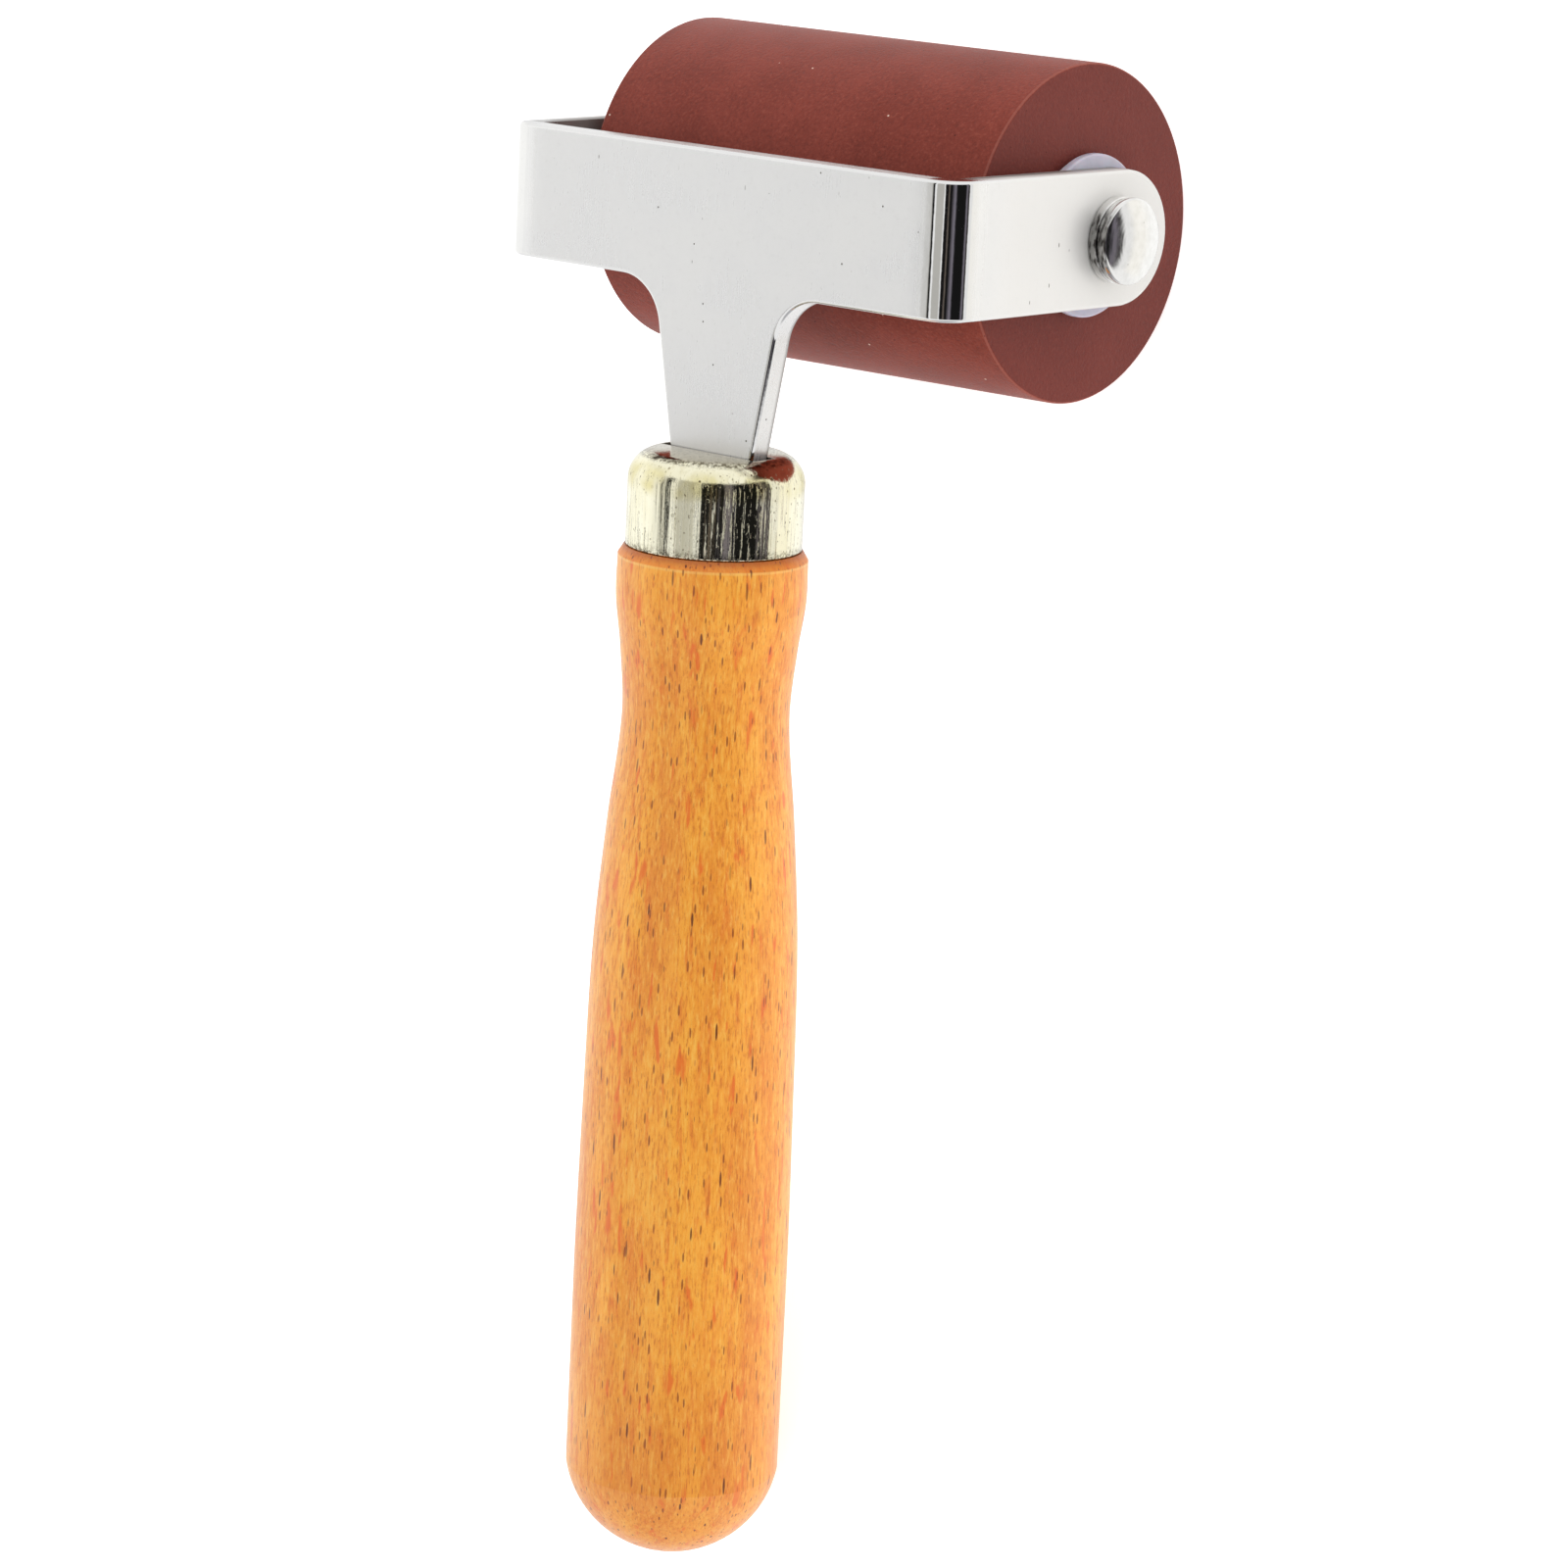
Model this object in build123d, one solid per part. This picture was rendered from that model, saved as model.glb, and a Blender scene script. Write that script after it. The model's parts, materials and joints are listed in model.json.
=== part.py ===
from build123d import *

import math
import os

# Hand brayer: a rubber roller that spins in a bent steel yoke, on a turned wooden handle.
# All sizes are in millimetres.
#
# Each piece is first made in the tool's own axes: X runs along the axle, Z runs up the
# handle's axis towards the roller, and Y runs from the yoke's plate towards the roller.
# The origin of these axes is where the handle's axis passes level with the axle.
# The finished tool is then laid down on Z = 0 as it rests on a table: the roller and the
# rounded butt of the handle touch the table, and the yoke's plate faces up.

# ---- Roller ----
ROLLER_DIAMETER = 40.0
ROLLER_LENGTH = 60.0
SLEEVE_EDGE_RADIUS = 0.35
CORE_DIAMETER = 18.0
CORE_BORE = 13.0

# ---- Bushes ----
FLANGE_DIAMETER = 19.2
FLANGE_THICKNESS = 1.0
FLANGE_STAND_OFF = 0.75
COLLAR_DIAMETER = 17.2
SPIGOT_LENGTH = 9.0
BUSH_EDGE_RADIUS = 0.3

# ---- Axle and its push-on caps ----
AXLE_DIAMETER = 5.0
AXLE_PAST_ARM = 2.5
AXLE_CHAMFER = 0.4
RUNNING_CLEARANCE = 0.05
CAP_DIAMETER = 10.2
CAP_LIP_HEIGHT = 1.25
CAP_GROOVE_WIDTH = 0.3
CAP_GROOVE_DEPTH = 0.3
CAP_SIDE_HEIGHT = 2.6
CAP_HEIGHT = 3.7
CROWN_EDGE_RADIUS = 0.7
CAP_WALL = 0.6
CAP_MOUTH_DIAMETER = 7.0
CAP_MOUTH_LIP = 0.35
WASHER_THICKNESS = 0.35
WASHER_TEETH = 6
WASHER_DISH = 0.4
TOOTH_ROOT_RADIUS = 3.4
TOOTH_GAP = 0.6

# ---- Yoke: one bent steel strip with a stem and a tang ----
PLATE_THICKNESS = 3.0
STRIP_HEIGHT = 16.0
YOKE_WIDTH = 70.0
BEND_INSIDE_RADIUS = 0.7
AXLE_OFFSET = 28.3
ARM_PAST_AXLE = 2.0
STEM_FILLET = 6.3
STEM_TOP_WIDTH = 20.2
STEM_FOOT_WIDTH = 12.8
TANG_WIDTH = 11.0
TANG_END_WIDTH = 6.0
TANG_DEPTH = 46.0
TANG_POINT = 4.0
STEEL_EDGE_RADIUS = 0.5

# ---- Ferrule ----
FERRULE_TOP_Z = -27.4
FERRULE_DIAMETER = 21.0
FERRULE_WALL = 0.7
FERRULE_CORNER_RADIUS = 3.3
FERRULE_SLOT_LENGTH = 15.0
FERRULE_SLOT_WIDTH = 3.5

# ---- Handle ----
SHOULDER_Z = -38.8
SHOULDER_DIAMETER = 22.6
SHOULDER_CHAMFER = 0.7
SHOULDER_CHAMFER_HEIGHT = 1.15
SHOULDER_BAND_HEIGHT = 5.05
WAIST_Z = -59.3
WAIST_DIAMETER = 20.0
GRIP_TOP_Z = -130.0
GRIP_DIAMETER = 26.0
# Diameters that the turned outline passes through, by height.
NECK_DIAMETERS = {-51.0: 21.1}
SWELL_DIAMETERS = {-72.4: 22.5, -87.0: 24.6, -108.0: 25.5}
BUTT_EDGE_Z = -153.0
BUTT_END_Z = -164.0
GLUE_GAP = 0.1

# How near an edge or corner must be to a face to count as lying on it.
TOUCH = 0.001

# ---- Derived sizes ----
HALF_STRIP = STRIP_HEIGHT / 2
HALF_PLATE = PLATE_THICKNESS / 2
HALF_YOKE = YOKE_WIDTH / 2
HALF_ROLLER = ROLLER_LENGTH / 2
ROLLER_RADIUS = ROLLER_DIAMETER / 2
AXLE_RADIUS = AXLE_DIAMETER / 2
BUSH_BORE_RADIUS = AXLE_RADIUS + RUNNING_CLEARANCE
BEND_OUTSIDE_RADIUS = BEND_INSIDE_RADIUS + PLATE_THICKNESS
GRIP_RADIUS = GRIP_DIAMETER / 2
FERRULE_RADIUS = FERRULE_DIAMETER / 2
TENON_RADIUS = FERRULE_RADIUS - FERRULE_WALL - GLUE_GAP
TENON_TOP_Z = FERRULE_TOP_Z - FERRULE_WALL - GLUE_GAP
TANG_END_Z = FERRULE_TOP_Z - TANG_DEPTH

# The butt is a ball-shaped cap on the grip, and its ball's centre lies on the handle's axis.
BUTT_DEPTH = BUTT_EDGE_Z - BUTT_END_Z
BUTT_RADIUS = (GRIP_RADIUS**2 + BUTT_DEPTH**2) / (2 * BUTT_DEPTH)
BUTT_CENTRE_Z = BUTT_END_Z + BUTT_RADIUS

# Resting on a table, the tool leans until the roller and the butt's ball share one tangent
# plane. TABLE_DROP is how far that plane lies below the origin of the tool's own axes.
CONTACT_SPAN = math.hypot(AXLE_OFFSET, BUTT_CENTRE_Z)
LEAN = math.atan2(AXLE_OFFSET, -BUTT_CENTRE_Z) + math.asin((ROLLER_RADIUS - BUTT_RADIUS) / CONTACT_SPAN)
TABLE_DROP = AXLE_OFFSET * math.cos(LEAN) + ROLLER_RADIUS
FRONT_Y = AXLE_OFFSET * math.sin(LEAN) + ROLLER_RADIUS
REAR_Y = BUTT_CENTRE_Z * math.cos(LEAN) - BUTT_RADIUS
RESTING_PLACE = Pos(0, -(FRONT_Y + REAR_Y) / 2, TABLE_DROP) * Rot(math.degrees(LEAN) - 90, 0, 0)


def turned_about_x(points):
    """A solid turned about the X axis, from its half section's (x, radius) points."""
    return revolve(make_face(Polyline(*points, close=True)), Axis.X)


def on_axle(shape, x=0.0):
    """Place a shape that was made about the X axis on the axle's line."""
    return Pos(x, AXLE_OFFSET, 0) * shape


def both_ends(right_piece):
    """The right-hand piece and its mirror twin at the left-hand end."""
    return right_piece, mirror(right_piece, about=Plane.YZ)


def make_rubber_sleeve():
    sleeve = Rot(0, 90, 0) * Cylinder(ROLLER_RADIUS, ROLLER_LENGTH)
    sleeve = fillet(sleeve.edges().filter_by(GeomType.CIRCLE), SLEEVE_EDGE_RADIUS)
    sleeve -= Rot(0, 90, 0) * Cylinder(CORE_DIAMETER / 2, ROLLER_LENGTH)
    return on_axle(sleeve)


def make_core_tube():
    tube = Cylinder(CORE_DIAMETER / 2, ROLLER_LENGTH) - Cylinder(CORE_BORE / 2, ROLLER_LENGTH)
    return on_axle(Rot(0, 90, 0) * tube)


def make_right_bush():
    """Flanged bush: its spigot fills the core's bore, and a collar keeps the flange off the rubber."""
    flange_face = FLANGE_STAND_OFF + FLANGE_THICKNESS
    bush = turned_about_x([
        (-SPIGOT_LENGTH, BUSH_BORE_RADIUS),
        (flange_face, BUSH_BORE_RADIUS),
        (flange_face, FLANGE_DIAMETER / 2),
        (FLANGE_STAND_OFF, FLANGE_DIAMETER / 2),
        (FLANGE_STAND_OFF, COLLAR_DIAMETER / 2),
        (0, COLLAR_DIAMETER / 2),
        (0, CORE_BORE / 2),
        (-SPIGOT_LENGTH, CORE_BORE / 2),
    ])
    outer_rim = bush.edges().filter_by(GeomType.CIRCLE).filter_by_position(
        Axis.X, flange_face - TOUCH, flange_face + TOUCH
    )
    bush = fillet(outer_rim.sort_by(SortBy.RADIUS)[-1], BUSH_EDGE_RADIUS)
    return on_axle(bush, HALF_ROLLER)


def make_axle_rod():
    length = YOKE_WIDTH + 2 * AXLE_PAST_ARM
    rod = Rot(0, 90, 0) * Cylinder(AXLE_RADIUS, length)
    return on_axle(chamfer(rod.edges().filter_by(GeomType.CIRCLE), AXLE_CHAMFER))


def make_right_cap():
    """Domed cap, grooved round its side, with its mouth crimped in over the lock washer."""
    radius = CAP_DIAMETER / 2
    groove_radius = radius - CAP_GROOVE_DEPTH
    groove_end = CAP_LIP_HEIGHT + CAP_GROOVE_WIDTH
    crown_rise = CAP_HEIGHT - CAP_SIDE_HEIGHT
    side = Polyline(
        (0, 0),
        (0, radius),
        (CAP_LIP_HEIGHT, radius),
        (CAP_LIP_HEIGHT, groove_radius),
        (groove_end, groove_radius),
        (groove_end, radius),
        (CAP_SIDE_HEIGHT, radius),
    )
    crown_radius = (radius**2 + crown_rise**2) / (2 * crown_rise)
    crown = RadiusArc((CAP_SIDE_HEIGHT, radius), (CAP_HEIGHT, 0), crown_radius)
    axis_line = Line((CAP_HEIGHT, 0), (0, 0))
    section = make_face([side, crown, axis_line])
    crown_corner = section.vertices().sort_by_distance((CAP_SIDE_HEIGHT, radius, 0))[0]
    cap = revolve(fillet(crown_corner, CROWN_EDGE_RADIUS), Axis.X)
    mouth = turned_about_x([
        (0, 0),
        (0, CAP_MOUTH_DIAMETER / 2),
        (CAP_MOUTH_LIP, CAP_MOUTH_DIAMETER / 2),
        (CAP_MOUTH_LIP, 0),
    ])
    inside_radius = groove_radius - CAP_WALL
    chamber = turned_about_x([
        (CAP_MOUTH_LIP, 0),
        (CAP_MOUTH_LIP, inside_radius),
        (CAP_SIDE_HEIGHT, inside_radius),
        (CAP_SIDE_HEIGHT, 0),
    ])
    return on_axle(cap - mouth - chamber, HALF_YOKE)


def make_right_lock_washer():
    """Dished spring washer: a flat rim, and slotted teeth that lean out and grip the rod."""
    rim_radius = CAP_DIAMETER / 2 - CAP_GROOVE_DEPTH - CAP_WALL
    foot = CAP_MOUTH_LIP
    face = foot + WASHER_THICKNESS
    washer = turned_about_x([
        (foot, rim_radius),
        (foot, TOOTH_ROOT_RADIUS),
        (foot + WASHER_DISH, AXLE_RADIUS),
        (face + WASHER_DISH, AXLE_RADIUS),
        (face, TOOTH_ROOT_RADIUS),
        (face, rim_radius),
    ])
    gap_depth = TOOTH_ROOT_RADIUS - AXLE_RADIUS + TOOTH_GAP / 2
    gap = Pos(0, 0, AXLE_RADIUS + gap_depth / 2) * Box(2 * CAP_HEIGHT, TOOTH_GAP, gap_depth + TOOTH_GAP)
    for tooth in range(WASHER_TEETH):
        washer -= Rot(360 / WASHER_TEETH * tooth, 0, 0) * gap
    return on_axle(washer, HALF_YOKE)


def strip_in_plan():
    """The bent strip seen along Z: the crossbar and two arms, with rounded bends."""
    arm_end = AXLE_OFFSET + ARM_PAST_AXLE + HALF_STRIP
    outside = FilletPolyline(
        (-HALF_YOKE, arm_end),
        (-HALF_YOKE, -HALF_PLATE),
        (HALF_YOKE, -HALF_PLATE),
        (HALF_YOKE, arm_end),
        radius=BEND_OUTSIDE_RADIUS,
    )
    inside_x = HALF_YOKE - PLATE_THICKNESS
    inside = FilletPolyline(
        (-inside_x, arm_end),
        (-inside_x, HALF_PLATE),
        (inside_x, HALF_PLATE),
        (inside_x, arm_end),
        radius=BEND_INSIDE_RADIUS,
    )
    ends = [Line((side * HALF_YOKE, arm_end), (side * inside_x, arm_end)) for side in (-1, 1)]
    return make_face([outside, inside, *ends])


def arms_in_side_view():
    """The strip's outline seen along X, with half-round arm ends."""
    end_centre = AXLE_OFFSET + ARM_PAST_AXLE
    straight = Pos(end_centre / 2 - HALF_PLATE / 2, 0) * Rectangle(end_centre + HALF_PLATE, STRIP_HEIGHT)
    return straight + Pos(end_centre, 0) * Circle(HALF_STRIP)


def half_stem_points(gap=0.0):
    """Right-hand outline of the stem and tang as (x, z) points, wider all round by gap."""
    return [
        (STEM_FOOT_WIDTH / 2 + gap, FERRULE_TOP_Z - FERRULE_WALL),
        (TANG_WIDTH / 2 + gap, FERRULE_TOP_Z - 2 * FERRULE_WALL - gap),
        (TANG_END_WIDTH / 2 + gap, TANG_END_Z),
        (TANG_END_WIDTH / 4 + gap, TANG_END_Z - TANG_POINT - gap),
    ]


def stem_and_tang():
    """The flat stem that tapers down from the crossbar, and the tang inside the handle."""
    root_x = STEM_TOP_WIDTH / 2 + STEM_FILLET
    right = [(root_x, 0), (root_x, -HALF_STRIP), (STEM_TOP_WIDTH / 2, -HALF_STRIP), *half_stem_points()]
    left = [(-x, z) for x, z in reversed(right)]
    blank = make_face(Polyline(*right, *left, close=True))
    roots = [v for v in blank.vertices() if abs(abs(v.X) - STEM_TOP_WIDTH / 2) < TOUCH]
    blank = fillet(roots, STEM_FILLET)
    return extrude(Plane.XZ * blank, HALF_PLATE, both=True)


def is_on_outer_rim(edge):
    """Whether an edge of the yoke runs round the rim of its outside face."""
    middle = edge.position_at(0.5)
    on_plate = abs(middle.Y + HALF_PLATE) < TOUCH
    on_arm = abs(abs(middle.X) - HALF_YOKE) < TOUCH
    on_bend = edge.geom_type == GeomType.CIRCLE and abs(edge.radius - BEND_OUTSIDE_RADIUS) < TOUCH
    across_strip = edge.geom_type == GeomType.LINE and abs(edge.length - STRIP_HEIGHT) < TOUCH
    return (on_plate or on_arm or on_bend) and not across_strip


def make_yoke():
    """Nickel-plated steel: bent strip, stem and tang in one piece, its outer rim rolled over."""
    strip = extrude(strip_in_plan(), HALF_STRIP, both=True)
    strip &= extrude(Plane.YZ * arms_in_side_view(), HALF_YOKE, both=True)
    yoke = strip + stem_and_tang()
    yoke = fillet(yoke.edges().filter_by(is_on_outer_rim), STEEL_EDGE_RADIUS)
    hole = Rot(0, 90, 0) * Cylinder(AXLE_RADIUS + RUNNING_CLEARANCE, YOKE_WIDTH)
    return yoke - on_axle(hole)


def rounded_plug(radius, top_z, corner_radius):
    """A round-shouldered plug that stands on the handle's shoulder."""
    height = top_z - SHOULDER_Z
    plug = Pos(0, 0, SHOULDER_Z + height / 2) * Cylinder(radius, height)
    return fillet(plug.edges().sort_by(Axis.Z)[-1], corner_radius)


def make_ferrule():
    """Drawn brass cup, closed at the top but for the slot that the stem passes through."""
    outside = rounded_plug(FERRULE_RADIUS, FERRULE_TOP_Z, FERRULE_CORNER_RADIUS)
    inside = rounded_plug(
        FERRULE_RADIUS - FERRULE_WALL, FERRULE_TOP_Z - FERRULE_WALL, FERRULE_CORNER_RADIUS - FERRULE_WALL
    )
    slot = Pos(0, 0, FERRULE_TOP_Z) * Box(FERRULE_SLOT_LENGTH, FERRULE_SLOT_WIDTH, 4 * FERRULE_WALL)
    return outside - inside - slot


def make_handle():
    """Turned handle: tenon, chamfered shoulder, waist, swelling grip and ball-shaped butt."""
    shoulder_radius = SHOULDER_DIAMETER / 2
    body_top_z = SHOULDER_Z - SHOULDER_CHAMFER_HEIGHT
    shoulder_foot_z = body_top_z - SHOULDER_BAND_HEIGHT
    head = Polyline(
        (0, TENON_TOP_Z),
        (TENON_RADIUS, TENON_TOP_Z),
        (TENON_RADIUS, SHOULDER_Z),
        (shoulder_radius - SHOULDER_CHAMFER, SHOULDER_Z),
        (shoulder_radius, body_top_z),
    )
    swell = Spline(
        (shoulder_radius, body_top_z),
        (shoulder_radius, shoulder_foot_z),
        *[(diameter / 2, z) for z, diameter in NECK_DIAMETERS.items()],
        (WAIST_DIAMETER / 2, WAIST_Z),
        *[(diameter / 2, z) for z, diameter in SWELL_DIAMETERS.items()],
        (GRIP_RADIUS, GRIP_TOP_Z),
        tangents=[(0, -1), (0, -1)],
    )
    grip = Line((GRIP_RADIUS, GRIP_TOP_Z), (GRIP_RADIUS, BUTT_EDGE_Z))
    butt = RadiusArc((GRIP_RADIUS, BUTT_EDGE_Z), (0, BUTT_END_Z), BUTT_RADIUS)
    axis_line = Line((0, BUTT_END_Z), (0, TENON_TOP_Z))
    section = make_face([head, swell, grip, butt, axis_line])
    handle = revolve(Plane.XZ * section, Axis.Z)
    handle = fillet(handle.edges().group_by(Axis.Z)[-1], FERRULE_CORNER_RADIUS)
    return handle - make_mortise()


def make_mortise():
    """The slot in the wood that holds the tang, a little wider than the tang all round."""
    right = [(STEM_FOOT_WIDTH / 2 + GLUE_GAP, FERRULE_TOP_Z), *half_stem_points(GLUE_GAP)]
    left = [(-x, z) for x, z in reversed(right)]
    outline = make_face(Polyline(*right, *left, close=True))
    return extrude(Plane.XZ * outline, HALF_PLATE + GLUE_GAP, both=True)


def make_brayer():
    right_bush, left_bush = both_ends(make_right_bush())
    right_cap, left_cap = both_ends(make_right_cap())
    right_washer, left_washer = both_ends(make_right_lock_washer())
    return {
        "rubber_sleeve": make_rubber_sleeve(),
        "core_tube": make_core_tube(),
        "right_bush": right_bush,
        "left_bush": left_bush,
        "axle_rod": make_axle_rod(),
        "right_cap": right_cap,
        "left_cap": left_cap,
        "right_lock_washer": right_washer,
        "left_lock_washer": left_washer,
        "yoke": make_yoke(),
        "ferrule": make_ferrule(),
        "handle": make_handle(),
    }


os.makedirs("parts", exist_ok=True)
for node, solid in make_brayer().items():
    export_step(RESTING_PLACE * solid, f"parts/{node}.step")

print("lean in degrees", math.degrees(LEAN))
print("axle centre", RESTING_PLACE * Pos(0, AXLE_OFFSET, 0))
print("grip middle", RESTING_PLACE * Pos(0, 0, (GRIP_TOP_Z + BUTT_EDGE_Z) / 2))
print("handle axis towards the butt", (0, -math.cos(LEAN), -math.sin(LEAN)))
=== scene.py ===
import json
import math

import bmesh
import bpy
from mathutils import Matrix, Vector


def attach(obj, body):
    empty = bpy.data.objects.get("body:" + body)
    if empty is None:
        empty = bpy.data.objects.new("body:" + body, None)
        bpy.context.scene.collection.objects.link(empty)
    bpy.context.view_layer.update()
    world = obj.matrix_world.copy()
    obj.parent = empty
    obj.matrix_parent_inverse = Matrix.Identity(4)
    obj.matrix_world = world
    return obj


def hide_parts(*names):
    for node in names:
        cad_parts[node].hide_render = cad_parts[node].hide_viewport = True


# Hand brayer: a rubber roller that spins in a bent, nickel-plated yoke, on a turned handle.
# New pieces are made in the tool's own axes: X runs along the axle, Z runs up the handle
# towards the roller, and Y runs from the yoke's plate towards the roller.
# Named sizes are in millimetres. Meshes become metres when they are finished.
MM = 0.001

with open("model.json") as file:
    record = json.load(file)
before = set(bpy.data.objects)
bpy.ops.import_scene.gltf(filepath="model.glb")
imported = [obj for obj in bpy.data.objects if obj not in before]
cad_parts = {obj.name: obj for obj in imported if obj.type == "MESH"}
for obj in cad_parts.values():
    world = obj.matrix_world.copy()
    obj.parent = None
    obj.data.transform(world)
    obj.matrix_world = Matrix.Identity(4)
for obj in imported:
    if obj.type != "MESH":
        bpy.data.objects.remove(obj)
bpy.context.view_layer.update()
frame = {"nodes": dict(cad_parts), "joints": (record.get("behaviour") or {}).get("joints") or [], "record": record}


def find_tool_axes():
    """The tool's own axes in the frame, from the axle's joint and the grip's mount."""
    joint = frame["joints"][0]
    mounts = {mount["name"]: mount for mount in frame["record"]["mounts"]}
    grip = mounts["handle_grip"]
    axle = Vector(joint["pos_m"])
    up = -Vector(grip["axis"]).normalized()
    foot = Vector(grip["pos_m"])
    origin = foot + up * (axle - foot).dot(up)
    outward = (axle - origin).normalized()
    axes = Matrix((Vector(joint["axis"]), outward, up)).transposed().to_4x4()
    axes.translation = origin
    return axes


TOOL = find_tool_axes()
TO_TOOL = TOOL.inverted()


def tool_box(node):
    """Lowest and highest corner of a CAD node in the tool's own axes, in millimetres."""
    points = [TO_TOOL @ vertex.co / MM for vertex in frame["nodes"][node].data.vertices]
    low = Vector([min(point[i] for point in points) for i in range(3)])
    high = Vector([max(point[i] for point in points) for i in range(3)])
    return low, high


# ---- Sizes read from the frame ----
sleeve_low, sleeve_high = tool_box("rubber_sleeve")
_, core_high = tool_box("core_tube")
bush_low, bush_high = tool_box("right_bush")
_, rod_high = tool_box("axle_rod")
cap_low, cap_high = tool_box("right_cap")
yoke_low, yoke_high = tool_box("yoke")
ferrule_low, ferrule_high = tool_box("ferrule")
handle_low, handle_high = tool_box("handle")

AXLE_Y = (sleeve_low.y + sleeve_high.y) / 2
HALF_ROLLER = sleeve_high.x
ROLLER_RADIUS = sleeve_high.z
CORE_RADIUS = core_high.z
FLANGE_RADIUS = bush_high.z
FLANGE_FACE_X = bush_high.x
SPIGOT_END_X = bush_low.x
ROD_RADIUS = rod_high.z
HALF_YOKE = yoke_high.x
HALF_STRIP = yoke_high.z
PLATE_FACE_Y = yoke_low.y
PLATE_THICKNESS = -2 * yoke_low.y
ARM_END_Y = yoke_high.y
TANG_TIP_Z = yoke_low.z
CAP_RADIUS = cap_high.z
CAP_FOOT_X = cap_low.x
CAP_TOP_X = cap_high.x
FERRULE_RADIUS = ferrule_high.x
FERRULE_TOP_Z = ferrule_high.z
SHOULDER_Z = ferrule_low.z
GRIP_RADIUS = handle_high.x
TENON_TOP_Z = handle_high.z
BUTT_END_Z = handle_low.z

# ---- Shape details that the boxes don't say ----
SLEEVE_EDGE_RADIUS = 0.35
SPIGOT_RADIUS = 6.5
BORE_CLEARANCE = 0.05
BUSH_EDGE_RADIUS = 0.3
FLANGE_BACK_RADIUS = 0.15
COLLAR_RADIUS = 8.6
FLANGE_THICKNESS = 1.0
# Radius and turn in degrees of the arcs that each bend is made of, from the plate to the arm.
BEND_ARCS = [(60.0, 3), (3.5, 84), (60.0, 3)]
STEM_FILLET = 6.3
HALF_STEM_TOP = 10.1
HALF_STEM_FOOT = 6.4
STEM_FOOT_Z = FERRULE_TOP_Z - 0.7
HALF_TANG = 5.5
TANG_TOP_Z = FERRULE_TOP_Z - 1.4
HALF_TANG_END = 3.0
TANG_END_Z = TANG_TIP_Z + 4.0
OUTER_RIM_RADIUS = 0.5
INNER_RIM_RADIUS = 0.15
FERRULE_WALL = 0.7
FERRULE_CORNER = 3.3
SHOULDER_ARC = 3.6
FOOT_ROLL_RADIUS = 0.3
FOOT_INNER_RADIUS = 0.15
DISC_RADIUS = 7.9
FERRULE_SLOT = Vector((15.0, 3.5, 3.0))
GLUE_GAP = 0.1
SHOULDER_RADIUS = 11.3
SHOULDER_CHAMFER = 0.7
SHOULDER_CHAMFER_HEIGHT = 1.15
SHOULDER_BAND_HEIGHT = 5.05
# Height and radius of the points that the turned grip passes through below its shoulder.
SWELL = [(-51.0, 10.55), (-59.3, 10.0), (-72.4, 11.25), (-87.0, 12.3), (-108.0, 12.75)]
GRIP_TOP_Z = -130.0
BUTT_EDGE_Z = -153.0

# Points closer together than this count as one.
TOUCH = 0.001
# How far a shape that only cuts reaches past what it cuts.
OVERRUN = 5.0


# ---- Outlines ----
def arc(centre, radius, start, end, steps):
    """Points along a circle from one angle to another, in degrees."""
    angles = [math.radians(start + (end - start) * i / steps) for i in range(steps + 1)]
    return [Vector((centre[0] + radius * math.cos(a), centre[1] + radius * math.sin(a))) for a in angles]


def rounded(corners, step_degrees=9):
    """A closed outline through (x, y, radius) corners, with an arc in each corner."""
    outline = []
    count = len(corners)
    for i, (x, y, radius) in enumerate(corners):
        corner = Vector((x, y))
        before = (Vector(corners[i - 1][:2]) - corner).normalized()
        after = (Vector(corners[(i + 1) % count][:2]) - corner).normalized()
        turn = math.pi - before.angle(after)
        if radius == 0:
            outline.append(corner)
            continue
        reach = radius * math.tan(turn / 2)
        centre = corner + (before + after).normalized() * math.hypot(radius, reach)
        start = corner + before * reach - centre
        sweep = start.angle_signed(corner + after * reach - centre)
        steps = max(2, round(math.degrees(turn) / step_degrees))
        for k in range(steps + 1):
            outline.append(centre + Matrix.Rotation(-sweep * k / steps, 2) @ start)
    return outline


def smooth_through(points, steps):
    """Points on a smooth curve through the given ones, upright at both ends."""
    count = len(points)
    slopes = [0.0] * count
    for i in range(1, count - 1):
        slopes[i] = (points[i + 1].x - points[i - 1].x) / (points[i + 1].y - points[i - 1].y)
    curve = []
    for i in range(count - 1):
        a, b = points[i], points[i + 1]
        span = b.y - a.y
        for k in range(steps):
            t = k / steps
            x = (
                a.x * (2 * t**3 - 3 * t**2 + 1)
                + span * slopes[i] * (t**3 - 2 * t**2 + t)
                + b.x * (3 * t**2 - 2 * t**3)
                + span * slopes[i + 1] * (t**3 - t**2)
            )
            curve.append(Vector((x, a.y + span * t)))
    return curve + [points[-1]]


# ---- Meshes ----
def lathe(outline, segments):
    """Turn a closed (radius, height) outline about Z; points on the axis become one vertex."""
    shape = bmesh.new()
    rings = []
    for radius, height in outline:
        if radius < TOUCH:
            rings.append([shape.verts.new((0, 0, height))])
            continue
        ring = []
        for i in range(segments):
            angle = math.tau * i / segments
            ring.append(shape.verts.new((radius * math.cos(angle), radius * math.sin(angle), height)))
        rings.append(ring)
    for lower, upper in zip(rings, rings[1:] + rings[:1]):
        for i in range(segments):
            j = (i + 1) % segments
            around = [
                lower[i % len(lower)],
                lower[j % len(lower)],
                upper[j % len(upper)],
                upper[i % len(upper)],
            ]
            corners = list(dict.fromkeys(around))
            if len(corners) > 2:
                shape.faces.new(corners)
    bmesh.ops.recalc_face_normals(shape, faces=shape.faces)
    return shape


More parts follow.
